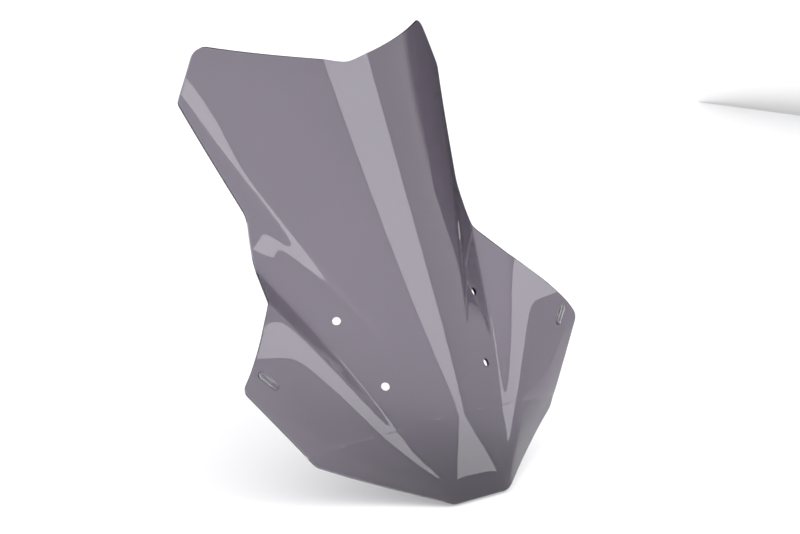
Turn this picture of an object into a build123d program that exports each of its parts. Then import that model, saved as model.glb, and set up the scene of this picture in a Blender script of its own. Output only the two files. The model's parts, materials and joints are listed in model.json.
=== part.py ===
"""Touring windshield screen: one formed acrylic sheet with a domed badge on each wing.

The sheet is drawn as a height above a flat base plane, which leans back with the screen. A
place on that plane is (across, up): outward from the centre line, and up the sheet from the
front edge of the nose. The height starts from a crest on the centre line and falls or rises
with the cross slope of each strip on the way out: panel, side facet, channel, wall and wing.
Neighbouring strips meet at straight fold lines that fan out from the nose.
"""

from build123d import *
from math import cos, hypot, pi, radians, sin, sqrt
import os

# ---- Sheet and attitude (mm, degrees) ----
sheet_thickness = 3.0
rake = 31.7                      # lean of the base plane, back from upright

# ---- Corners of the trimmed outline, right half: (across, up) ----
top_middle = (0.0, 466.0)
top_corner = (139.0, 521.5)
top_edge_bow = 6.0               # how far the top edge dips below its chord
shoulder = (162.5, 472.0)
waist = (130.5, 338.0)
notch = (136.0, 286.0)
wing_root = (149.0, 243.0)
wing_tip = (207.0, 161.5)
keel_corner = (145.5, 74.0)
nose_corner = (33.0, 0.0)

# ---- Rounding of those corners ----
top_middle_radius = 30.0
top_corner_radius = 11.0
shoulder_radius = 13.0
waist_radius = 45.0
notch_radius = 40.0
wing_root_radius = 12.0
wing_tip_radius = 9.0
keel_corner_radius = 24.0
nose_corner_radius = 14.0

# ---- Fold lines: (across, up) of the lower and the upper end ----
brow_fold = ((10.0, 62.0), (162.0, 474.0))        # panel to side facet
waist_fold = ((38.0, 146.0), (131.0, 341.0))      # side facet to channel
foot_fold = ((34.0, 0.0), (135.5, 285.0))         # channel to wall
root_fold = ((66.0, 72.0), (149.0, 241.0))        # wall to wing
low_root_fold = ((33.0, 20.0), (62.0, 68.0))      # its lower stretch, towards the nose
fold_round = 2.5
fold_merge_round = 2.0           # where one fold line runs into the next

# ---- Flat strip along the crest ----
strip_half_width = 27.0          # at the top edge
strip_tip_up = 85.0
crest_round = 2.5

# ---- Crest height along the centre line ----
crest_height = 18.2
crest_fall = 0.0653
crest_hollow = 8.0e-5

# ---- Cross slopes, mm of height per mm outward ----
panel_slope_low = -0.448
panel_slope_rise = 5.0e-4
panel_crown = 2.55e-3
panel_crown_fade = 2.4e-8
panel_crown_up = 410.0
facet_slope = -0.95
channel_slope = -0.385
channel_slope_fade = 7.5e-6
channel_slope_up = 60.0
wall_slope = 0.551
wall_slope_fade = 1.82e-5
wall_slope_up = 240.0
wing_slope = -0.094
wing_twist = 2.77e-3
wing_twist_fade = 2.1e-6
wing_slope_up = 161.0
shelf_slope = 0.02               # inner strip of the wing, beside the wall
shelf_width_low = 10.0
shelf_widening = 0.075
shelf_round = 6.0
outer_wing_gain = 1.3            # how much steeper the rest of the wing is for it

# ---- Nose facet and rolled rim ----
nose_height = 3.0
nose_slope = 0.092
nose_round = 1.5
rim_width = 15.0
rim_slope = 0.22
rim_round = 5.0
rim_corner_round = 4.0

# ---- Fixing holes: (across, up) ----
hole_diameter = 8.5
upper_hole = (85.5, 209.3)
lower_hole = (62.5, 131.8)

# ---- Badges, centred on each wing ----
badge_centre = (181.0, 165.0)
badge_length = 26.0
badge_width = 8.0
badge_angle = 50.0
foil_thickness = 0.3
foil_border = 0.6                # foil showing round the dome
dome_height = 1.1
dome_edge_round = 0.7

# ---- Cross-sections of the forming blank ----
blank_margin = 5.0               # blank left outside the outline before trimming
blank_low_margin = 27.0          # and beside the slanting edges of the nose
blank_edge_round = 20.0
section_spacing = 15.0
steps_per_strip = 8              # points across each strip
least_strip = 8.0                # narrowest spread of those points
slope_step = 0.05


def rounded_max(value, rounding):
    """The larger of value and 0, with the corner rounded off."""
    return (value + hypot(value, rounding)) / 2


def rounded_min(first, second, rounding):
    """The smaller of two values, with the corner rounded off."""
    return (first + second - hypot(first - second, rounding)) / 2


def fold_across(fold, up):
    """Distance outward of a straight fold line at one height up the sheet."""
    (low_across, low_up), (high_across, high_up) = fold
    return low_across + (up - low_up) * (high_across - low_across) / (high_up - low_up)


def inside(place, low, high):
    """Distance of a place inward from the outline edge that runs from low to high."""
    run, rise = high[0] - low[0], high[1] - low[1]
    return ((place[1] - low[1]) * run - (place[0] - low[0]) * rise) / hypot(run, rise)


def fold_places(up):
    """Distances outward of the brow, waist, foot and root folds at one height, in order."""
    brow = rounded_max(fold_across(brow_fold, up), fold_merge_round)
    valley = brow + rounded_max(fold_across(waist_fold, up) - brow, fold_merge_round)
    upper_root, lower_root = fold_across(root_fold, up), fold_across(low_root_fold, up)
    root = rounded_min(upper_root, lower_root, fold_merge_round)
    foot = root - rounded_max(root - fold_across(foot_fold, up), fold_merge_round)
    return brow, valley, foot, root


def crest_strip_edge(up):
    """Half width of the flat strip along the crest at one height up the sheet."""
    share = (up - strip_tip_up) / (top_middle[1] - strip_tip_up)
    return strip_half_width * sqrt(max(share, 0.0))


def shelf_width(up):
    """Width of the inner strip of the wing at one height up the sheet."""
    return shelf_width_low + shelf_widening * up


def height(across, up):
    """Height of the front surface above the base plane."""
    out = hypot(across, crest_round)
    beyond = [rounded_max(out - fold, fold_round) for fold in fold_places(up)]
    on_panel = rounded_max(out - beyond[0] - crest_strip_edge(up), fold_round)

    crest = crest_height - crest_fall * up + crest_hollow * up**2
    crown = max(panel_crown - panel_crown_fade * (up - panel_crown_up) ** 2, 0.0)
    panel = (panel_slope_low + panel_slope_rise * up) * on_panel - crown * on_panel**2
    channel = channel_slope - channel_slope_fade * (up - channel_slope_up) ** 2
    wall = wall_slope - wall_slope_fade * min(up - wall_slope_up, 0.0) ** 2
    wing_up = up - wing_slope_up
    wing = wing_slope + wing_twist * wing_up - wing_twist_fade * wing_up**2
    past_shelf = rounded_max(beyond[3] - shelf_width(up), shelf_round)
    folded = (
        crest
        + panel
        + facet_slope * (beyond[0] - beyond[1])
        + channel * (beyond[1] - beyond[2])
        + wall * (beyond[2] - beyond[3])
        + shelf_slope * beyond[3]
        + outer_wing_gain * (wing - shelf_slope) * past_shelf
    )
    formed = rounded_min(folded, nose_height + nose_slope * up, nose_round)

    from_wing_edge = inside((out, up), keel_corner, wing_tip)
    from_keel_edge = inside((out, up), nose_corner, keel_corner)
    from_sides = rounded_min(from_wing_edge, from_keel_edge, rim_corner_round)
    from_rim = rounded_min(from_sides, up, rim_corner_round)
    return formed - rim_slope * rounded_max(rim_width - from_rim, rim_round)


def cross_slope(across, up):
    """Slope of the front surface going across."""
    rise = height(across + slope_step, up) - height(across - slope_step, up)
    return rise / (2 * slope_step)


def up_slope(across, up):
    """Slope of the front surface going up the sheet."""
    rise = height(across, up + slope_step) - height(across, up - slope_step)
    return rise / (2 * slope_step)


base = Plane(origin=(0, 0, 0), x_dir=(1, 0, 0), z_dir=(0, -cos(radians(rake)), sin(radians(rake))))


def surface_plane(across, up, turn=0.0):
    """Plane that touches the front surface at one place, with its x axis turned up the sheet."""
    normal = base.z_dir - base.x_dir * cross_slope(across, up) - base.y_dir * up_slope(across, up)
    along = base.x_dir * cos(radians(turn)) + base.y_dir * sin(radians(turn))
    origin = base.from_local_coords(Vector(across, up, height(across, up)))
    return Plane(origin=origin, x_dir=along, z_dir=normal)


def even_steps(first, last, spacing):
    """Values from first to last, evenly spaced and about that far apart."""
    count = round((last - first) / spacing)
    return [first + (last - first) * step / count for step in range(count + 1)]


section_ups = even_steps(-blank_margin, top_corner[1] + blank_margin, section_spacing)


def blank_edge(up):
    """Half width of the forming blank at one height up the sheet."""
    beside_nose = fold_across((nose_corner, keel_corner), up) + blank_low_margin
    return rounded_min(wing_tip[0] + blank_margin, beside_nose, blank_edge_round)


def section_stations(up):
    """Places across one cross-section, the same number in each strip and closer at its folds."""
    folds = fold_places(up)
    strip_edges = [0.0]
    for edge in (crest_strip_edge(up), *folds, folds[-1] + shelf_width(up), blank_edge(up)):
        strip_edges.append(max(edge, strip_edges[-1] + least_strip))
    right_half = []
    for low, high in zip(strip_edges, strip_edges[1:]):
        for step in range(1, steps_per_strip + 1):
            share = step / steps_per_strip
            eased = (1 - cos(pi * share)) / 2
            right_half.append(low + (high - low) * (share + eased) / 2)
    return [-across for across in reversed(right_half)] + [0.0] + right_half


def section_edge(up, depth):
    """Cross-section of the surface that lies depth in front of the front surface."""
    places = []
    for across in section_stations(up):
        slope = cross_slope(across, up)
        reach = depth / hypot(1, slope)
        places.append(Vector(across - slope * reach, height(across, up) + reach))
    last = len(places) - 1
    return Edge.make_spline(places, parameters=[index / last for index in range(last + 1)])


def layer_sections(low_depth, high_depth, ups):
    """Cross-sections of a layer of the formed shape, between two depths."""
    sections = []
    for up in ups:
        section_plane = Plane(
            origin=base.from_local_coords(Vector(0, up, 0)), x_dir=base.x_dir, z_dir=-base.y_dir
        )
        with BuildSketch(section_plane) as section:
            with BuildLine():
                front = section_edge(up, high_depth)
                back = section_edge(up, low_depth)
                add(front)
                add(back)
                Line(front @ 0, back @ 0)
                Line(front @ 1, back @ 1)
            make_face()
        sections.append(section.sketch.face())
    return sections


# ---- Formed sheet ----
corners = (
    (top_corner, top_corner_radius),
    (shoulder, shoulder_radius),
    (waist, waist_radius),
    (notch, notch_radius),
    (wing_root, wing_root_radius),
    (wing_tip, wing_tip_radius),
    (keel_corner, keel_corner_radius),
    (nose_corner, nose_corner_radius),
)
holes = (upper_hole, lower_hole)
trim_reach = 2 * wing_tip[0]

with BuildPart() as screen_sheet:
    loft(layer_sections(-sheet_thickness, 0, section_ups))
    with BuildSketch(base) as outline:
        with BuildLine():
            SagittaArc(top_middle, top_corner, -top_edge_bow)
            Polyline(*[corner for corner, _ in corners], (0, nose_corner[1]))
            mirror(about=Plane.YZ)
        make_face()
        fillet(outline.vertices().sort_by_distance(top_middle)[0], top_middle_radius)
        for (across, up), radius in corners:
            for side in (1, -1):
                fillet(outline.vertices().sort_by_distance((side * across, up))[0], radius)
    extrude(amount=trim_reach, both=True, mode=Mode.INTERSECT)
    for across, up in holes:
        for side in (1, -1):
            with Locations(surface_plane(side * across, up)):
                Hole(hole_diameter / 2, depth=2 * sheet_thickness)

# ---- Badges ----
badge_across, badge_up = badge_centre
badge_plane = surface_plane(badge_across, badge_up, badge_angle)

with BuildPart() as badge_foil_right:
    loft(layer_sections(0, foil_thickness, section_ups))
    with BuildSketch(badge_plane):
        SlotOverall(badge_length, badge_width)
    extrude(amount=badge_length, both=True, mode=Mode.INTERSECT)

dome_top = foil_thickness + dome_height
with BuildPart() as badge_dome_right:
    loft(layer_sections(foil_thickness, dome_top, section_ups))
    with BuildSketch(badge_plane):
        SlotOverall(badge_length - 2 * foil_border, badge_width - 2 * foil_border)
    extrude(amount=badge_length, both=True, mode=Mode.INTERSECT)

with BuildPart() as badge_foil_left:
    mirror(badge_foil_right.part, about=Plane.YZ)

with BuildPart() as badge_dome_left:
    mirror(badge_dome_right.part, about=Plane.YZ)

# ---- Stand the screen over the origin and write each piece ----
seat = screen_sheet.part.bounding_box()
home = Location((0, -(seat.min.Y + seat.max.Y) / 2, -seat.min.Z))

screen_sheet.part.label = "screen_sheet"
badge_foil_left.part.label = "badge_foil_left"
badge_dome_left.part.label = "badge_dome_left"
badge_foil_right.part.label = "badge_foil_right"
badge_dome_right.part.label = "badge_dome_right"

os.makedirs("parts", exist_ok=True)
for piece in (screen_sheet, badge_foil_left, badge_dome_left, badge_foil_right, badge_dome_right):
    piece.part.locate(home)
    export_step(piece.part, f"parts/{piece.part.label}.step")
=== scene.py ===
"""Looks for the touring windshield screen: the formed tinted sheet, its two badges and a studio."""

import enum
import json
import logging
from dataclasses import dataclass, field

import bmesh
import bpy
import numpy as np
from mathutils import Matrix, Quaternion, Vector


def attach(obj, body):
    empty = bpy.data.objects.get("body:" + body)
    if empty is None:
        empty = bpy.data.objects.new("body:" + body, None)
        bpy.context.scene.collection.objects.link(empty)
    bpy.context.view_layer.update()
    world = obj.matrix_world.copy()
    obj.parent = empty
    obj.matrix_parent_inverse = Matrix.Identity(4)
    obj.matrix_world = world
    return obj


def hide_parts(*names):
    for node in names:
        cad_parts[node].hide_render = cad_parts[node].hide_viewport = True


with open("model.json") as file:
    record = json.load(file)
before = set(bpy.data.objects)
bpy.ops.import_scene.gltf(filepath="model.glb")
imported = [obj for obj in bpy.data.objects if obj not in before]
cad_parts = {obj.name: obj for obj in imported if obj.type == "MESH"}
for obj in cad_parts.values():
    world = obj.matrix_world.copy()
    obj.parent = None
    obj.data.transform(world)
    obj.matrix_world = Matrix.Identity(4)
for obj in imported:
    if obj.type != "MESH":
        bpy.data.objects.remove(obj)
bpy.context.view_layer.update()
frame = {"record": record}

LOG = logging.getLogger("screen")
MM = 0.001
MERGE_DISTANCE = 2e-7            # metres; closer points are one


# ---------------------------------------------------------------- shader tools


class Value:
    """One shader socket, with the arithmetic that the finishes use."""

    def __init__(self, shader: "Shader", socket: bpy.types.NodeSocket) -> None:
        """Keep the socket and the shader it belongs to."""
        self.shader = shader
        self.socket = socket

    def _math(self, operation: str, first: object, second: object) -> "Value":
        """Add a Math node.

        Args:
            operation: The Math node's operation.
            first: A number or a Value.
            second: A number or a Value.

        Returns:
            The node's result.
        """
        return self.shader.node("ShaderNodeMath", {"operation": operation}, {0: first, 1: second})

    def __add__(self, other: object) -> "Value":
        """Sum."""
        return self._math("ADD", self, other)

    def __radd__(self, other: object) -> "Value":
        """Sum with a number on the left."""
        return self._math("ADD", other, self)

    def __mul__(self, other: object) -> "Value":
        """Product."""
        return self._math("MULTIPLY", self, other)

    def __rmul__(self, other: object) -> "Value":
        """Product with a number on the left."""
        return self._math("MULTIPLY", other, self)


class Shader:
    """A material's node tree, built one node at a time."""

    def __init__(self, name: str) -> None:
        """Start an empty node material.

        Args:
            name: The material's name.
        """
        self.material = bpy.data.materials.new(name)
        self.material.use_nodes = True
        self.tree = self.material.node_tree
        self.tree.nodes.clear()
        self.output = self.tree.nodes.new("ShaderNodeOutputMaterial")

    def node(self, kind: str, settings: dict, sockets: dict, out: object = 0) -> Value:
        """Add a node, set its options, then its sockets.

        Args:
            kind: The node's type.
            settings: Attribute names and values, set first.
            sockets: Socket names or numbers, each with a number, colour or Value.
            out: The name or number of the output wanted.

        Returns:
            That output.
        """
        node = self.tree.nodes.new(kind)
        for name, value in settings.items():
            setattr(node, name, value)
        for key, value in sockets.items():
            if isinstance(value, Value):
                self.tree.links.new(value.socket, node.inputs[key])
            else:
                node.inputs[key].default_value = value
        return Value(self, node.outputs[out])

    def position(self) -> Value:
        """The surface point in the object's own coordinates."""
        return self.node("ShaderNodeTexCoord", {}, {}, "Object")

    def noise(self, scale: float, detail: float, where: Value) -> Value:
        """Soft noise.

        Args:
            scale: Waves per metre, roughly.
            detail: Octaves added on top.
            where: The point that is read.

        Returns:
            A value between 0 and 1.
        """
        sockets = {"Vector": where, "Scale": scale, "Detail": detail}
        return self.node("ShaderNodeTexNoise", {}, sockets, "Fac")

    def stretched(self, factors: tuple[float, float, float], turn: tuple = (0, 0, 0)) -> Value:
        """The object point with each axis scaled, after a turn.

        Args:
            factors: Scale along X, Y and Z.
            turn: Rotation in radians.

        Returns:
            The new point.
        """
        sockets = {"Vector": self.position(), "Scale": factors, "Rotation": turn}
        return self.node("ShaderNodeMapping", {"vector_type": "POINT"}, sockets)

    def blend(self, factor: Value, low: tuple, high: tuple) -> Value:
        """A colour between two colours.

        Args:
            factor: 0 gives the low colour, 1 the high one.
            low: First colour.
            high: Second colour.

        Returns:
            The mixed colour.
        """
        sockets = {0: factor, 6: (*low, 1.0), 7: (*high, 1.0)}
        return self.node("ShaderNodeMix", {"data_type": "RGBA"}, sockets, 2)

    def bump(self, height: Value, strength: float, distance: float) -> Value:
        """A bumped normal.

        Args:
            height: The height pattern.
            strength: How much of it shows.
            distance: The height of a full step, in metres.

        Returns:
            The normal.
        """
        sockets = {"Height": height, "Strength": strength, "Distance": distance}
        return self.node("ShaderNodeBump", {}, sockets)

    def finish(self, surface: Value, volume: Value | None = None) -> bpy.types.Material:
        """Connect the surface and the inside, and hand over the material."""
        self.tree.links.new(surface.socket, self.output.inputs["Surface"])
        if volume is not None:
            self.tree.links.new(volume.socket, self.output.inputs["Volume"])
        return self.material


# ---------------------------------------------------------------- finishes


@dataclass(frozen=True)
class TintedAcrylic:
    """Polished smoke acrylic, coloured through its thickness."""

    tint: tuple[float, float, float] = (0.415, 0.375, 0.445)
    density: float = 960.0
    refraction: float = 1.49
    polish: float = 0.003
    haze: float = 0.008
    forming_ripple: float = 0.00002

    def material(self) -> bpy.types.Material:
        """Build the finish: clear polished faces with faint haze over an absorbing inside."""
        s = Shader("tinted_acrylic")
        broad = s.noise(9.0, 2.0, s.position())
        fine = s.noise(900.0, 3.0, s.position())
        ripple = s.noise(26.0, 1.0, s.position())
        surface = s.node(
            "ShaderNodeBsdfPrincipled",
            {},
            {
                "Base Color": s.blend(broad, (0.95, 0.945, 0.96), (1.0, 0.995, 1.0)),
                "Roughness": self.polish + self.haze * broad * fine,
                "IOR": self.refraction,
                "Transmission Weight": 1.0,
                "Normal": s.bump(ripple, 0.35, self.forming_ripple),
            },
        )
        inside = s.node(
            "ShaderNodeVolumeAbsorption", {}, {"Color": (*self.tint, 1.0), "Density": self.density}
        )
        return s.finish(surface, inside)


@dataclass(frozen=True)
class BrushedFoil:
    """Thin silver foil with a fine brushed line."""

    light: tuple[float, float, float] = (0.17, 0.165, 0.185)
    dark: tuple[float, float, float] = (0.07, 0.068, 0.08)

    def material(self) -> bpy.types.Material:
        """Build the finish."""
        s = Shader("badge_foil")
        lines = s.noise(1.0, 2.0, s.stretched((400.0, 2600.0, 2600.0)))
        surface = s.node(
            "ShaderNodeBsdfPrincipled",
            {},
            {
                "Base Color": s.blend(lines, self.dark, self.light),
                "Metallic": 1.0,
                "Roughness": 0.24 + 0.2 * lines,
                "Normal": s.bump(lines, 0.2, 0.00002),
            },
        )
        return s.finish(surface)


@dataclass(frozen=True)
class ClearResin:
    """Clear poured resin over the foil."""

    clear: tuple[float, float, float] = (0.97, 0.97, 0.98)

    def material(self) -> bpy.types.Material:
        """Build the finish."""
        s = Shader("badge_dome")
        cloud = s.noise(300.0, 2.0, s.position())
        surface = s.node(
            "ShaderNodeBsdfPrincipled",
            {},
            {
                "Base Color": s.blend(cloud, (0.93, 0.93, 0.95), self.clear),
                "Roughness": 0.03 + 0.03 * cloud,
                "IOR": 1.5,
                "Transmission Weight": 1.0,
            },
        )
        return s.finish(surface)


@dataclass(frozen=True)
class BlackCloth:
    """Matt black cloth of the studio's flag."""

    thread: tuple[float, float, float] = (0.02, 0.02, 0.022)
    gap: tuple[float, float, float] = (0.01, 0.01, 0.01)

    def material(self) -> bpy.types.Material:
        """Build the finish."""
        s = Shader("studio_flag")
        weave = s.noise(600.0, 1.0, s.position())
        surface = s.node(
            "ShaderNodeBsdfPrincipled",
            {},
            {"Base Color": s.blend(weave, self.gap, self.thread), "Roughness": 0.9 + 0.1 * weave},
        )
        return s.finish(surface)


@dataclass(frozen=True)
class PaleFloor:
    """Matt white studio floor."""

    white: tuple[float, float, float] = (0.86, 0.86, 0.87)

    def material(self) -> bpy.types.Material:
        """Build the finish."""
        s = Shader("studio_floor")
        cloud = s.noise(3.0, 2.0, s.position())
        surface = s.node(
            "ShaderNodeBsdfPrincipled",
            {},
            {
                "Base Color": s.blend(cloud, self.white, (0.89, 0.89, 0.9)),
                "Roughness": 0.9 + 0.05 * cloud,
                "Specular IOR Level": 0.1,
            },
        )
        return s.finish(surface)


# ---------------------------------------------------------------- meshes


@dataclass
class Patches:
    """Vertices, normals and four-sided faces gathered from several grids."""

    points: list[np.ndarray] = field(default_factory=list)
    normals: list[np.ndarray] = field(default_factory=list)
    faces: list[np.ndarray] = field(default_factory=list)
    count: int = 0

    def add(self, points: np.ndarray, normals: np.ndarray, faces: np.ndarray) -> None:
        """Append one grid.

        Args:
            points: Positions, n by 3.
            normals: Outward directions, n by 3.
            faces: Corner numbers, m by 4, counted from this grid's first point.
        """
        self.points.append(points)
        self.normals.append(normals)
        self.faces.append(faces + self.count)
        self.count += len(points)

    def mesh(self, name: str, shaded: bool = True) -> bpy.types.Object:
        """Join the grids where they meet and make one object.

        Args:
            name: The object's name.
            shaded: Keep the exact directions for shading.

        Returns:
            The object, at the origin, with its shape in metres.
        """
        points = np.concatenate(self.points)
        normals = np.concatenate(self.normals)
        keys = np.round(points / MERGE_DISTANCE).astype(np.int64)
        _, first, back = np.unique(keys, axis=0, return_index=True, return_inverse=True)
        faces = back.reshape(-1)[np.concatenate(self.faces)]
        points, normals = points[first], normals[first]
        normals /= np.linalg.norm(normals, axis=1, keepdims=True)
        mesh = bpy.data.meshes.new(name)
        mesh.vertices.add(len(points))
        mesh.vertices.foreach_set("co", points.astype(np.float32).ravel())
        mesh.loops.add(faces.size)
        mesh.loops.foreach_set("vertex_index", faces.astype(np.int32).ravel())
        mesh.polygons.add(len(faces))
        mesh.polygons.foreach_set("loop_start", np.arange(0, faces.size, 4, dtype=np.int32))
        mesh.update(calc_edges=True)
        mesh.validate()
        mesh.polygons.foreach_set("use_smooth", np.ones(len(mesh.polygons), dtype=bool))
        if shaded:
            mesh.normals_split_custom_set_from_vertices(normals.astype(np.float32))
        piece = bpy.data.objects.new(name, mesh)
        bpy.context.scene.collection.objects.link(piece)
        return piece


def loop_faces(stations: int, rings: int) -> np.ndarray:
    """Faces of a grid that closes on itself along its first parameter.

    Args:
        stations: Points round the loop.
        rings: Loops, one after the other.

    Returns:
        Corner numbers for points stored ring by ring.
    """
    here = np.arange(stations)
    after = (here + 1) % stations
    start = (np.arange(rings - 1) * stations)[:, None]
    corners = (start + here, start + after, start + stations + after, start + stations + here)
    return np.stack(corners, axis=-1).reshape(-1, 4)


# ---------------------------------------------------------------- the formed shape


def rounded_max(value: np.ndarray, rounding: float) -> np.ndarray:
    """The larger of value and 0, with the corner rounded: the mean of value and its length."""
    return (value + np.hypot(value, rounding)) / 2


def rounded_min(first: np.ndarray, second: np.ndarray, rounding: float) -> np.ndarray:
    """The smaller of two values, with the corner rounded off."""
    return (first + second - np.hypot(first - second, rounding)) / 2


@dataclass(frozen=True)
class FormedShape:
    """The screen's formed surface, a height over a base plane that leans back.

    A place is (across, up) in millimetres. The height is the crest line's, then falls or rises
    with the cross slope of each strip on the way out: panel, facet, channel, wall and wing.
    """

    thickness: float = 3.0
    rake: float = 31.7
    wing_tip: tuple[float, float] = (207.0, 161.5)
    keel: tuple[float, float] = (145.5, 74.0)
    nose: tuple[float, float] = (33.0, 0.0)
    top_up: float = 466.0
    brow: tuple = ((10.0, 62.0), (162.0, 474.0))
    waist: tuple = ((38.0, 146.0), (131.0, 341.0))
    foot: tuple = ((34.0, 0.0), (135.5, 285.0))
    root: tuple = ((66.0, 72.0), (149.0, 241.0))
    low_root: tuple = ((33.0, 20.0), (62.0, 68.0))
    fold_round: float = 2.5
    merge_round: float = 2.0
    strip_half_width: float = 27.0
    strip_tip_up: float = 85.0
    crest_round: float = 2.5
    crest: tuple[float, float, float] = (18.2, -0.0653, 8.0e-5)
    panel: tuple[float, float] = (-0.448, 5.0e-4)
    crown: tuple[float, float, float] = (2.55e-3, 2.4e-8, 410.0)
    facet: float = -0.95
    channel: tuple[float, float, float] = (-0.385, -7.5e-6, 60.0)
    wall: tuple[float, float, float] = (0.551, -1.82e-5, 240.0)
    wing: tuple[float, float, float, float] = (-0.094, 2.77e-3, -2.1e-6, 161.0)
    shelf: tuple[float, float, float, float, float] = (0.02, 10.0, 0.075, 6.0, 1.3)
    nose_facet: tuple[float, float, float] = (3.0, 0.092, 1.5)
    rim: tuple[float, float, float, float] = (15.0, 0.22, 5.0, 4.0)

    @staticmethod
    def line(fold: tuple, up: np.ndarray) -> np.ndarray:
        """Distance outward of a straight fold line at each height."""
        (low, start), (high, end) = fold
        return low + (up - start) * (high - low) / (end - start)

    @staticmethod
    def inside(across: np.ndarray, up: np.ndarray, low: tuple, high: tuple) -> np.ndarray:
        """Distance inward from the outline edge that runs from low to high."""
        run, rise = high[0] - low[0], high[1] - low[1]
        return ((up - low[1]) * run - (across - low[0]) * rise) / np.hypot(run, rise)

    def height(self, across: np.ndarray, up: np.ndarray) -> np.ndarray:
        """Height of the front surface: crest plus each strip's slope times the run across it.

        Args:
            across: Distances from the centre line.
            up: Distances up the base plane.

        Returns:
            Heights above the base plane.
        """
        out = np.hypot(across, self.crest_round)
        brow = rounded_max(self.line(self.brow, up), self.merge_round)
        low_edge = brow + rounded_max(self.line(self.waist, up) - brow, self.merge_round)
        upper, lower = self.line(self.root, up), self.line(self.low_root, up)
        root = rounded_min(upper, lower, self.merge_round)
        foot = root - rounded_max(root - self.line(self.foot, up), self.merge_round)
        past_brow, past_waist, past_foot, past_root = (
            rounded_max(out - fold, self.fold_round) for fold in (brow, low_edge, foot, root)
        )
        share = (up - self.strip_tip_up) / (self.top_up - self.strip_tip_up)
        strip = self.strip_half_width * np.sqrt(np.maximum(share, 0.0))
        on_panel = rounded_max(out - past_brow - strip, self.fold_round)
        crest = self.crest[0] + self.crest[1] * up + self.crest[2] * up**2
        crown = np.maximum(self.crown[0] - self.crown[1] * (up - self.crown[2]) ** 2, 0.0)
        panel = (self.panel[0] + self.panel[1] * up) * on_panel - crown * on_panel**2
        channel = self.channel[0] + self.channel[1] * (up - self.channel[2]) ** 2
        wall = self.wall[0] + self.wall[1] * np.minimum(up - self.wall[2], 0.0) ** 2
        wing_up = up - self.wing[3]
        wing = self.wing[0] + self.wing[1] * wing_up + self.wing[2] * wing_up**2
        folded = crest + panel + self.facet * (past_brow - past_waist)
        folded = folded + channel * (past_waist - past_foot)
        level, start, widening, rounding, gain = self.shelf
        past_shelf = rounded_max(past_root - start - widening * up, rounding)
        folded = folded + wall * (past_foot - past_root) + level * past_root
        folded = folded + gain * (wing - level) * past_shelf
        level, slope, rounding = self.nose_facet
        formed = rounded_min(folded, level + slope * up, rounding)
        width, fall, rim_round, corner_round = self.rim
        wing_edge = self.inside(out, up, self.keel, self.wing_tip)
        keel_edge = self.inside(out, up, self.nose, self.keel)
        edge = rounded_min(rounded_min(wing_edge, keel_edge, corner_round), up, corner_round)
        return formed - fall * rounded_max(width - edge, rim_round)

    def slopes(self, place: np.ndarray) -> tuple[np.ndarray, np.ndarray]:
        """Slopes across and up at each place, from heights a twentieth of a millimetre apart."""
        across, up, step = place[..., 0], place[..., 1], 0.05
        sideways = self.height(across + step, up) - self.height(across - step, up)
        upward = self.height(across, up + step) - self.height(across, up - step)
        return sideways / (2 * step), upward / (2 * step)

    def normals(self, place: np.ndarray) -> np.ndarray:
        """Forward unit normals in base coordinates: minus the slopes, and one."""
        sideways, upward = self.slopes(place)
        normal = np.stack((-sideways, -upward, np.ones_like(upward)), axis=-1)
        return normal / np.linalg.norm(normal, axis=-1, keepdims=True)

    def through(self, place: np.ndarray, share: np.ndarray | float) -> np.ndarray:
        """Points inside the sheet: the front height less a share of its upright thickness."""
        sideways, _ = self.slopes(place)
        deep = self.thickness * np.hypot(1.0, sideways)
        high = self.height(place[..., 0], place[..., 1]) - share * deep
        return np.concatenate((place, high[..., None]), axis=-1)

    def directions(self, base: np.ndarray) -> np.ndarray:
        """Turn vectors from base coordinates (across, up, out) to the row frame."""
        lean = np.radians(self.rake)
        axes = np.array(
            ((1, 0, 0), (0, np.sin(lean), np.cos(lean)), (0, -np.cos(lean), np.sin(lean)))
        )
        return base.reshape(-1, 3) @ axes

    def origin(self, mount: dict, place: tuple[float, float]) -> np.ndarray:
        """The base plane's origin in the row frame, in metres, found from one hole.

        Args:
            mount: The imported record's entry for the hole.
            place: The hole's (across, up).

        Returns:
            The origin, from the hole's middle less its own place in the shape.
        """
        spot = np.array([place], dtype=float)
        middle = self.through(spot, 0.0) - self.normals(spot) * self.thickness / 2
        return np.array(mount["pos_m"]) - self.directions(middle)[0] * MM


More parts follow.
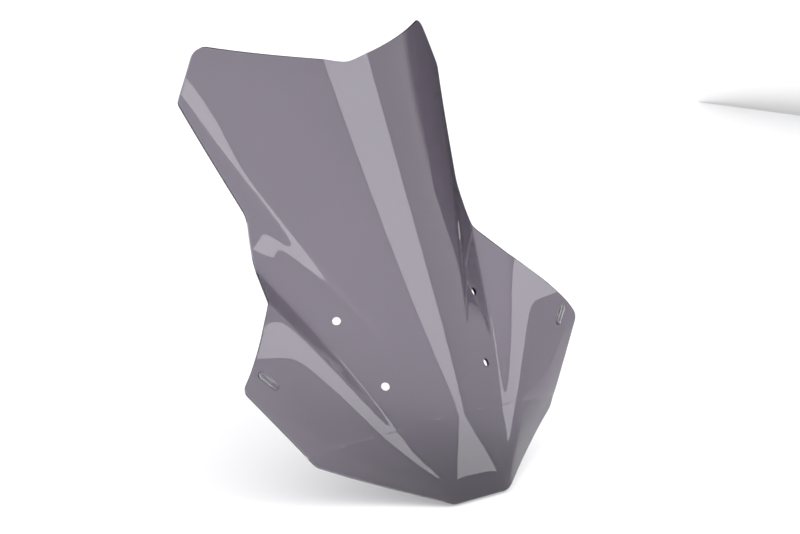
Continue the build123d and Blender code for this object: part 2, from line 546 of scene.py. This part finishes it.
@dataclass(frozen=True)
class Outline:
    """The trimmed edge: straight runs joined by arcs, right half from the bottom to the top."""

    corners: tuple = (
        ((33.0, 0.0), 14.0),
        ((145.5, 74.0), 24.0),
        ((207.0, 161.5), 9.0),
        ((149.0, 243.0), 12.0),
        ((136.0, 286.0), 40.0),
        ((130.5, 338.0), 45.0),
        ((162.5, 472.0), 13.0),
        ((139.0, 521.5), 11.0),
    )
    top_middle: tuple[float, float] = (0.0, 466.0)
    top_middle_radius: float = 30.0
    top_bow: float = 6.0
    top_chords: int = 8
    chord_radius: float = 300.0

    def top_arc(self) -> np.ndarray:
        """Corners of short chords along the bowed top edge, from its middle to its corner."""
        start, end = np.array(self.top_middle), np.array(self.corners[-1][0])
        share = np.linspace(0.0, 1.0, self.top_chords + 1)[:, None]
        run = end - start
        sideways = np.array((run[1], -run[0])) / np.hypot(*run)
        return start + share * run + sideways * 4 * self.top_bow * share * (1 - share)

    def path(self, shares: tuple[np.ndarray, np.ndarray, np.ndarray]) -> tuple:
        """Places and outward directions along the bottom, the side and the top edge.

        Each corner of the chain is replaced by an arc that touches both its runs, and the
        chain is then read at even lengths. The grid's corners are the middles of two arcs.

        Args:
            shares: Where to read each of the three edges, from 0 to 1, going outward along
                the bottom, up the side and outward along the top.

        Returns:
            (places, directions) for the bottom, the side and the top.
        """
        arc = self.top_arc()[::-1]
        chain = [(0.0, 0.0)] + [corner for corner, _ in self.corners]
        chain += [tuple(p) for p in arc[1:]] + [(-arc[-2][0], arc[-2][1])]
        radii = [radius for _, radius in self.corners]
        radii += [self.chord_radius] * (self.top_chords - 1) + [self.top_middle_radius]
        points = np.array(chain)
        run = np.diff(points, axis=0)
        length = np.hypot(run[:, 0], run[:, 1])
        heading = run / length[:, None]
        cross = heading[:-1, 0] * heading[1:, 1] - heading[:-1, 1] * heading[1:, 0]
        turn = np.arctan2(cross, (heading[:-1] * heading[1:]).sum(axis=1))
        radius = np.array(radii)
        cut = radius * np.tan(np.abs(turn) / 2)
        pieces = []
        at, done = points[0], 0.0
        marks = []
        for i, (bend, size, back) in enumerate(zip(turn, radius, cut)):
            straight = np.hypot(*(points[i + 1] - heading[i] * back - at))
            pieces.append((done, straight, at, heading[i], 0.0))
            done += straight
            at = points[i + 1] - heading[i] * back
            pieces.append((done, size * abs(bend), at, heading[i], np.sign(bend) / size))
            marks.append(done + size * abs(bend) / 2)
            done += size * abs(bend)
            at = points[i + 1] + heading[i + 1] * back
        starts = np.array([p[0] for p in pieces])
        origin = np.array([p[2] for p in pieces])
        along = np.array([p[3] for p in pieces])
        curve = np.array([p[4] for p in pieces])
        ends = (0.0, marks[0], marks[len(self.corners) - 1], marks[-1])
        result = []
        for low, high, share, flip in zip(ends, ends[1:], shares, (False, False, True)):
            where = high - share * (high - low) if flip else low + share * (high - low)
            which = np.clip(np.searchsorted(starts, where, side="right") - 1, 0, len(starts) - 1)
            gone, bend, way = where - starts[which], curve[which], along[which]
            left = np.stack((-way[:, 1], way[:, 0]), axis=-1)
            safe = np.where(bend == 0, 1.0, bend)
            forward = np.where(bend == 0, gone, np.sin(gone * safe) / safe)
            sideways = np.where(bend == 0, 0.0, (1 - np.cos(gone * safe)) / safe)
            place = origin[which] + way * forward[:, None] + left * sideways[:, None]
            angle = gone * bend
            new_way = way * np.cos(angle)[:, None] + left * np.sin(angle)[:, None]
            result.append((place, np.stack((new_way[:, 1], -new_way[:, 0]), axis=-1)))
        return tuple(result)


# ---------------------------------------------------------------- sub-assemblies


class Side(enum.Enum):
    """A side of the screen, as the row's X axis counts it."""

    RIGHT = 1
    LEFT = -1


@dataclass
class ScreenSheet:
    """The formed sheet with polished round edges and its four fixing holes."""

    shape: FormedShape
    origin: np.ndarray
    outline: Outline = Outline()
    columns: int = 68
    rows: int = 250
    edge_round: float = 0.8
    edge_steps: int = 4
    hole_radius: float = 4.25
    hole_round: float = 0.4
    hole_rings: int = 5
    hole_block: int = 4
    holes: tuple = ((85.5, 209.3), (62.5, 131.8))

    def grid(self) -> tuple[np.ndarray, np.ndarray, np.ndarray]:
        """Places over the whole sheet, and its outline.

        The right half is a Coons patch: the centre line blended into the side edge, with the
        bottom and top edges' departures from straight added in proportion. The left half is
        its mirror image.

        Returns:
            Grid places (rows, columns, 2), outline places and outward directions, both going
            once round from the left end of the bottom edge.
        """
        across = np.linspace(0.0, 1.0, self.columns + 1)
        along = np.linspace(0.0, 1.0, self.rows + 1)
        edges = self.outline.path((across, along, across))
        inset = [place - way * self.edge_round for place, way in edges]
        bottom, side, top = inset
        middle_up = (side[:, 1] - side[0, 1]) / (side[-1, 1] - side[0, 1])
        middle_up = bottom[0, 1] + middle_up * (top[0, 1] - bottom[0, 1])
        share = ((middle_up - middle_up[0]) / (middle_up[-1] - middle_up[0]))[:, None, None]
        centre = np.stack((np.zeros_like(middle_up), middle_up), axis=-1)[:, None, :]
        s = across[None, :, None]
        straight = (1 - s) * centre + s * side[:, None, :]
        low = bottom[None] - ((1 - s) * bottom[0] + s * bottom[-1])
        high = top[None] - ((1 - s) * top[0] + s * top[-1])
        right = straight + (1 - share) * low + share * high
        mirror = np.array((-1.0, 1.0))
        grid = np.concatenate((right[:, :0:-1] * mirror, right), axis=1)
        (low_p, low_n), (side_p, side_n), (top_p, top_n) = edges
        rim = [
            np.concatenate((low[:0:-1] * mirror, low, side[1:], top[-2::-1]))
            for low, side, top in ((low_p, side_p, top_p), (low_n, side_n, top_n))
        ]
        rim = [
            np.concatenate((half, top[1:-1] * mirror, side[:0:-1] * mirror))
            for half, side, top in zip(rim, (side_p, side_n), (top_p, top_n))
        ]
        return grid, rim[0], rim[1]

    def put(self, patches: Patches, base: np.ndarray, normals: np.ndarray, faces: np.ndarray) -> None:
        """Move a grid from base coordinates to the row frame and store it.

        Args:
            patches: Where it is stored.
            base: Points in millimetres in base coordinates.
            normals: Outward directions in base coordinates.
            faces: Corner numbers.
        """
        points = self.shape.directions(base) * MM + self.origin
        patches.add(points, self.shape.directions(normals), faces)

    def faces_put(self, patches: Patches, grid: np.ndarray, keep: np.ndarray) -> None:
        """Store the front and back faces, without the cells round the holes."""
        high, wide = grid.shape[:2]
        number = np.arange(high * wide).reshape(high, wide)
        cells = np.stack(
            (number[:-1, :-1], number[:-1, 1:], number[1:, 1:], number[1:, :-1]), axis=-1
        )[keep]
        place = grid.reshape(-1, 2)
        normals = self.shape.normals(place)
        self.put(patches, self.shape.through(place, 0.0), normals, cells)
        self.put(patches, self.shape.through(place, 1.0), -normals, cells[:, ::-1])

    def edge_put(self, patches: Patches, place: np.ndarray, way: np.ndarray) -> None:
        """Store the cut edge: a quarter round, the flat of the cut and a quarter round.

        Args:
            patches: Where it is stored.
            place: The outline.
            way: Its outward directions.
        """
        turn = np.linspace(0.0, np.pi / 2, self.edge_steps + 1)
        back_in = self.edge_round * (1 - np.sin(turn))
        depth = self.edge_round * (1 - np.cos(turn)) / self.shape.thickness
        off = np.concatenate((back_in, back_in[::-1]))
        share = np.concatenate((depth, 1 - depth[::-1]))
        facing = np.concatenate((np.cos(turn), -np.cos(turn[::-1])))
        outward = np.concatenate((np.sin(turn), np.sin(turn[::-1])))
        spots = place[None] - way[None] * off[:, None, None]
        flat = np.concatenate((way, np.zeros((len(way), 1))), axis=1)[None]
        normals = facing[:, None, None] * self.shape.normals(spots)
        normals = normals + outward[:, None, None] * flat
        faces = loop_faces(len(place), len(off))[:, ::-1]
        self.put(patches, self.shape.through(spots, share[:, None]), normals, faces)

    def hole_put(self, patches: Patches, ring: np.ndarray, centre: np.ndarray) -> None:
        """Store the surround and the wall of one hole.

        The surround blends the square loop of cells left open into a circle square to the
        surface; the wall runs straight through with both its edges rounded.

        Args:
            patches: Where it is stored.
            ring: The square loop, anticlockwise.
            centre: The hole's place.
        """
        shape, size = self.shape, len(ring)
        normal = shape.normals(centre[None])[0]
        first = np.array((normal[2], 0.0, -normal[0]))
        first /= np.linalg.norm(first)
        second = np.cross(normal, first)
        start = ring[0] - centre
        angle = np.arctan2(start[1], start[0]) + 2 * np.pi * np.arange(size) / size
        spoke = np.cos(angle)[:, None] * first + np.sin(angle)[:, None] * second
        turn = np.linspace(0.0, np.pi / 2, self.edge_steps + 1)
        off = self.hole_round * (1 - np.sin(turn))
        depth = self.hole_round * (1 - np.cos(turn))
        reach = (self.hole_radius + off)[:, None, None] * spoke[None]
        lip = centre + reach[..., :2]
        blend = np.linspace(0.0, 1.0, self.hole_rings + 1)[:-1, None, None]
        front = shape.through((1 - blend) * ring + blend * lip[0], 0.0)
        lip_front = shape.through(lip, 0.0) - depth[:, None, None] * normal
        shift = lip - shape.thickness * normal[:2]
        lip_back = (shape.through(shift, 1.0) + depth[:, None, None] * normal)[::-1]
        back = shape.through((1 - blend) * ring + blend * shift[0], 1.0)[::-1]
        inward = -np.sin(turn)[:, None, None] * spoke[None]
        facing = np.cos(turn)[:, None, None] * normal
        normals = np.concatenate(
            (
                shape.normals(front[..., :2]),
                facing + inward,
                (inward - facing)[::-1],
                -shape.normals(back[..., :2]),
            )
        )
        base = np.concatenate((front, lip_front, lip_back, back))
        self.put(patches, base, normals, loop_faces(size, len(base)))

    def build(self) -> bpy.types.Object:
        """Build the whole sheet as one closed surface."""
        grid, rim_place, rim_way = self.grid()
        patches = Patches()
        keep = np.ones((grid.shape[0] - 1, grid.shape[1] - 1), dtype=bool)
        half = self.hole_block
        step = np.arange(-half, half)
        for across, up in self.holes:
            for side in Side:
                centre = np.array((side.value * across, up))
                near = np.argmin(((grid - centre) ** 2).sum(axis=-1))
                row, column = np.unravel_index(near, grid.shape[:2])
                keep[row - half : row + half, column - half : column + half] = False
                rows = np.concatenate((0 * step - half, step, 0 * step + half, -step))
                columns = np.concatenate((step, 0 * step + half, -step, 0 * step - half))
                self.hole_put(patches, grid[row + rows, column + columns], centre)
        self.faces_put(patches, grid, keep)
        self.edge_put(patches, rim_place, rim_way)
        piece = patches.mesh("formed_sheet")
        piece.data.materials.append(TintedAcrylic().material())
        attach(piece, "root")
        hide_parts("screen_sheet")
        LOG.info("sheet: %d faces", len(piece.data.polygons))
        return piece


@dataclass
class Badge:
    """A silver foil with a clear domed cover, on one wing."""

    sheet: ScreenSheet
    side: Side
    centre: tuple[float, float] = (181.0, 165.0)
    length: float = 26.0
    width: float = 8.0
    angle: float = 50.0
    foil: float = 0.3
    border: float = 0.6
    dome: float = 1.1
    stations: int = 96
    rings: int = 14
    least_ring: float = 0.02
    spine_gather: float = 1.6
    foil_clear: float = 0.03
    dome_clear: float = 0.02
    shoulder_share: float = 0.75

    def layer(self, name: str, inset: float, low: float, high: float, crown: float) -> bpy.types.Object:
        """One capsule-shaped layer that follows the sheet.

        Its loops shrink from the capsule's outline to its spine. The height over the sheet
        rises from the low level up a round shoulder to the high level, and then by the crown.

        Args:
            name: The piece's name.
            inset: How far the capsule is inside the badge's own outline.
            low: Height of its underside over the sheet.
            high: Height of its shoulder.
            crown: Extra height at its middle.

        Returns:
            The piece.
        """
        radius = self.width / 2 - inset
        spine = (self.length - self.width) / 2
        angle = 2 * np.pi * np.arange(self.stations) / self.stations
        spread = np.stack((np.cos(angle), np.sin(angle)), axis=-1)
        anchor = np.stack((spine * np.sign(spread[:, 0]), np.zeros(self.stations)), axis=-1)
        turn = np.linspace(0.0, np.pi / 2, self.rings)
        shrink = np.concatenate((np.linspace(self.least_ring, 1.0, self.rings)[:-1], [1.0]))
        shrink = np.concatenate((shrink, 1 - (1 - self.least_ring) * (1 - np.cos(turn[1:]))))
        rise = np.concatenate((np.full(self.rings, low), low + (high - low) * np.sin(turn[1:])))
        rise[self.rings :] += crown * (1 - shrink[self.rings :] ** 2)
        thin = np.minimum(shrink * self.spine_gather, 1.0)[:, None, None]
        flat = anchor[None] * thin + spread[None] * (radius * shrink)[:, None, None]
        tilt = np.radians(self.angle)
        turned = np.array(((np.cos(tilt), np.sin(tilt)), (-np.sin(tilt), np.cos(tilt))))
        place = np.array(self.centre) + flat @ turned
        place[..., 0] *= self.side.value
        shape = self.sheet.shape
        normal = shape.normals(place)
        base = shape.through(place, 0.0) + normal * rise[:, None, None]
        patches = Patches()
        faces = loop_faces(self.stations, len(rise))
        faces = faces if self.side is Side.LEFT else faces[:, ::-1]
        self.sheet.put(patches, base, normal, faces)
        piece = patches.mesh(name, shaded=False)
        self.close(piece)
        return piece

    @staticmethod
    def close(piece: bpy.types.Object) -> None:
        """Close both ends of a layer and turn its faces outward."""
        shell = bmesh.new()
        shell.from_mesh(piece.data)
        bmesh.ops.holes_fill(shell, edges=[e for e in shell.edges if e.is_boundary], sides=0)
        bmesh.ops.recalc_face_normals(shell, faces=shell.faces)
        for face in shell.faces:
            face.smooth = True
        shell.to_mesh(piece.data)
        shell.free()

    def build(self) -> list[bpy.types.Object]:
        """Build the foil and the dome."""
        word = self.side.name.lower()
        top = self.foil + self.dome
        shoulder = top * self.shoulder_share
        foil = self.layer(f"foil_{word}", 0.0, self.foil_clear, self.foil, 0.0)
        low = self.foil + self.dome_clear
        dome = self.layer(f"dome_{word}", self.border, low, shoulder, top - shoulder)
        for piece, finish, node in ((foil, BrushedFoil(), "foil"), (dome, ClearResin(), "dome")):
            piece.data.materials.append(finish.material())
            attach(piece, "root")
            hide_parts(f"badge_{node}_{word}")
            LOG.info("%s: %d faces", piece.name, len(piece.data.polygons))
        return [foil, dome]


# ---------------------------------------------------------------- studio


@dataclass(frozen=True)
class Softbox:
    """A large soft light, placed by the direction it is seen in from the screen."""

    name: str
    azimuth: float
    elevation: float
    width: float
    height: float
    power: float
    roll: float
    distance: float = 3.0


@dataclass
class Studio:
    """Floor, lights and camera round the screen."""

    base_origin: np.ndarray
    target: tuple[float, float, float] = (0.0, 0.0, 0.2)
    lens: float = 94.5
    eye: tuple[float, float, float] = (-1163.4, -1542.4, 831.2)
    forward: tuple[float, float, float] = (0.5429, 0.7870, -0.2932)
    white: float = 1.1
    dark: float = 0.06
    dark_azimuth: float = 64.0
    dark_elevation: float = 10.0
    dark_reach: tuple[float, float] = (17.0, 23.0)
    flag_azimuth: float = 69.0
    flag_distance: float = 1.7
    flag_size: tuple[float, float] = (1.0, 0.55)
    floor_reach: float = 4.0
    floor_drop: float = 0.0005
    boxes: tuple[Softbox, ...] = (
        Softbox("key", 138.5, 36.0, 1.15, 2.3, 30.0, -28.0),
        Softbox("side", -120.8, 23.5, 0.2, 0.7, 1.8, 0.0),
        Softbox("back", 10.0, 62.0, 3.2, 2.6, 38.0, 0.0),
    )

    def light(self, box: Softbox) -> None:
        """Place one softbox facing the screen.

        Args:
            box: Its direction, size and power.
        """
        data = bpy.data.lights.new(box.name, "AREA")
        data.shape = "RECTANGLE"
        data.size, data.size_y, data.energy = box.width, box.height, box.power
        lamp = bpy.data.objects.new(box.name, data)
        turn, rise = np.radians(box.azimuth), np.radians(box.elevation)
        way = Vector((np.sin(turn) * np.cos(rise), np.cos(turn) * np.cos(rise), np.sin(rise)))
        lamp.location = Vector(self.target) + way * box.distance
        spin = Quaternion((0, 0, 1), np.radians(box.roll))
        lamp.rotation_euler = (way.to_track_quat("Z", "Y") @ spin).to_euler()
        bpy.context.scene.collection.objects.link(lamp)

    def flag(self) -> None:
        """Stand a low black flag on the floor, out of view, for the steep right side to reflect."""
        turn = np.radians(self.flag_azimuth)
        middle = self.flag_distance * np.array((np.sin(turn), np.cos(turn)))
        half = self.flag_size[0] / 2 * np.array((np.cos(turn), -np.sin(turn)))
        low = [(*(middle + way * half), 0.0) for way in (-1, 1)]
        high = [(x, y, self.flag_size[1]) for x, y, _ in reversed(low)]
        mesh = bpy.data.meshes.new("flag")
        mesh.from_pydata(low + high, [], [(0, 1, 2, 3)])
        mesh.materials.append(BlackCloth().material())
        flag = bpy.data.objects.new("flag", mesh)
        flag.visible_camera = False
        bpy.context.scene.collection.objects.link(flag)

    def surroundings(self) -> None:
        """Set a white studio with one dark side, which fades in with the angle to its middle."""
        world = bpy.data.worlds.new("studio")
        world.use_nodes = True
        tree = world.node_tree
        turn, rise = np.radians(self.dark_azimuth), np.radians(self.dark_elevation)
        middle = (np.sin(turn) * np.cos(rise), np.cos(turn) * np.cos(rise), np.sin(rise))
        place = tree.nodes.new("ShaderNodeTexCoord")
        align = tree.nodes.new("ShaderNodeVectorMath")
        align.operation = "DOT_PRODUCT"
        align.inputs[1].default_value = middle
        fade = tree.nodes.new("ShaderNodeMapRange")
        fade.interpolation_type = "SMOOTHSTEP"
        near, far = (float(np.cos(np.radians(angle))) for angle in self.dark_reach)
        for name, value in (("From Min", far), ("From Max", near)):
            fade.inputs[name].default_value = value
        fade.inputs["To Min"].default_value = self.white
        fade.inputs["To Max"].default_value = self.dark
        tree.links.new(place.outputs["Generated"], align.inputs[0])
        tree.links.new(align.outputs["Value"], fade.inputs["Value"])
        background = tree.nodes["Background"]
        background.inputs["Color"].default_value = (1, 1, 1, 1)
        tree.links.new(fade.outputs["Result"], background.inputs["Strength"])
        bpy.context.scene.world = world

    def build(self) -> None:
        """Build the floor, the surroundings, the lights and the camera."""
        floor_mesh = bpy.data.meshes.new("floor")
        reach = self.floor_reach
        corners = [(-reach, -reach, 0), (reach, -reach, 0), (reach, reach, 0), (-reach, reach, 0)]
        floor_mesh.from_pydata(corners, [], [(0, 1, 2, 3)])
        floor = bpy.data.objects.new("floor", floor_mesh)
        floor.location.z = -self.floor_drop
        floor_mesh.materials.append(PaleFloor().material())
        bpy.context.scene.collection.objects.link(floor)
        self.flag()
        self.surroundings()
        for box in self.boxes:
            self.light(box)
        camera_data = bpy.data.cameras.new("camera")
        camera_data.lens = self.lens
        camera = bpy.data.objects.new("camera", camera_data)
        camera.location = Vector(self.eye) * MM + Vector(self.base_origin)
        camera.rotation_euler = Vector(self.forward).to_track_quat("-Z", "Y").to_euler()
        bpy.context.scene.collection.objects.link(camera)
        bpy.context.scene.camera = camera
        bpy.context.scene.view_settings.view_transform = "Standard"
        LOG.info("studio: %d lights", len(self.boxes))


def main() -> None:
    """Build the screen and its studio."""
    logging.basicConfig(level=logging.INFO)
    shape = FormedShape()
    mounts = {mount["name"]: mount for mount in frame["record"]["mounts"]}
    origin = shape.origin(mounts["upper_hole_right"], ScreenSheet.holes[0])
    sheet = ScreenSheet(shape, origin)
    sheet.build()
    for side in Side:
        Badge(sheet, side).build()
    Studio(origin).build()


if __name__ == "__main__":
    main()
